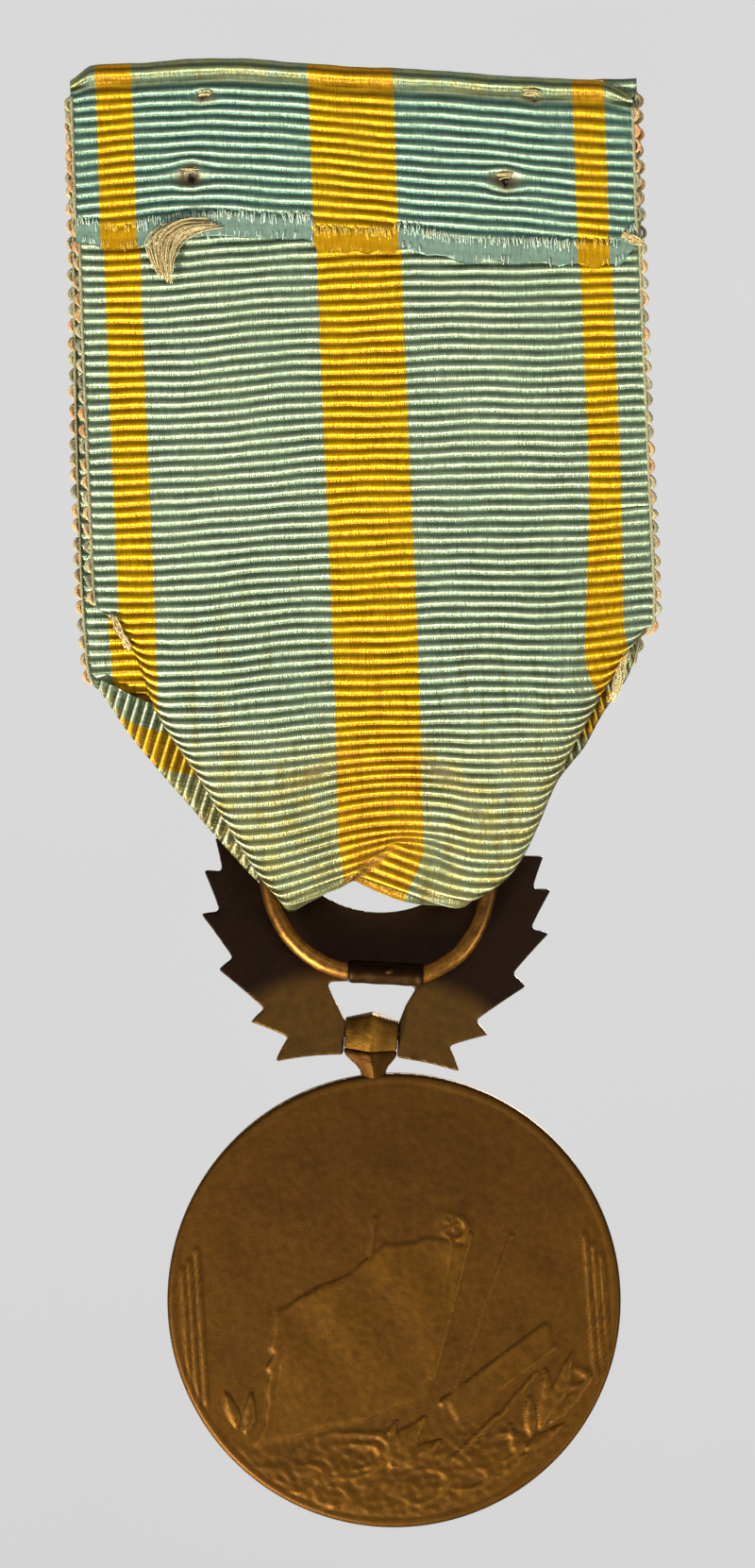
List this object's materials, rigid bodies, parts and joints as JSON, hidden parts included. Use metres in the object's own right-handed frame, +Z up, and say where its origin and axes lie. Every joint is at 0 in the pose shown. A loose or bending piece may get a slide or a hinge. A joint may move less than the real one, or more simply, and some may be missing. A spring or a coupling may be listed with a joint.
{
  "type": "military service medal",
  "caption": "Round bronze service medal hanging from a laurel and crescent suspender and wire ring on a folded ribbed ribbon with yellow stripes.",
  "frame": {"origin": "middle of the ribbon's top fold, where the medal is pinned or sewn on", "axes": "+Z up as the medal hangs, -Y out of the worn front, +Y out of the back, +X to the right of somebody looking at the front"},
  "size_m": [0.0392, 0.0051, 0.0979],
  "materials": {
    "ribbon_silk": "ribbed moire silk, pale blue-green with golden yellow stripes",
    "picot_thread": "tan looped edging thread",
    "sewing_thread": "loose straw-coloured thread",
    "ring_wire": "tarnished wire with worn highlights",
    "clasp_metal": "dark tarnished sheet",
    "wreath_bronze": "dark brown bronze patina",
    "lug_bronze": "worn bronze patina",
    "disc_bronze": "olive-brown bronze patina, lighter on the rim"
  },
  "bodies": {
    "ribbon": {"ribbon_front_panel": "ribbon_silk", "ribbon_back_panel": "ribbon_silk", "ribbon_bottom_fold": "ribbon_silk", "ribbon_top_hem": "ribbon_silk", "ribbon_front_tuck_right": "ribbon_silk", "ribbon_front_tuck_left": "ribbon_silk", "ribbon_back_tuck_right": "ribbon_silk", "ribbon_back_tuck_left": "ribbon_silk", "picot_front_right": "picot_thread", "picot_front_left": "picot_thread", "picot_back_right": "picot_thread", "picot_back_left": "picot_thread", "thread_tuft": "sewing_thread"},
    "ring": {"suspension_ring": "ring_wire"},
    "wreath": {"wreath_plate": "wreath_bronze", "ring_clasp": "clasp_metal"},
    "disc": {"hinge_strap": "lug_bronze", "disc_lug": "lug_bronze", "medal_disc": "disc_bronze"}
  },
  "joints": [
    {"name": "ring_spin", "type": "hinge", "parent": "ribbon", "child": "ring", "pos_m": [0.00016, 0, -0.05314], "axis": [0, 1, 0], "range_deg": [-12, 12]},
    {"name": "wreath_tilt", "type": "hinge", "parent": "ring", "child": "wreath", "pos_m": [0.00008, 0, -0.06025], "axis": [0.9962, 0, 0.0872], "range_deg": [0, 55]},
    {"name": "disc_swing", "type": "hinge", "parent": "wreath", "child": "disc", "pos_m": [0.00098, -0.00025, -0.06421], "axis": [-0.9962, 0, -0.0872], "range_deg": [-110, 110]}
  ]
}
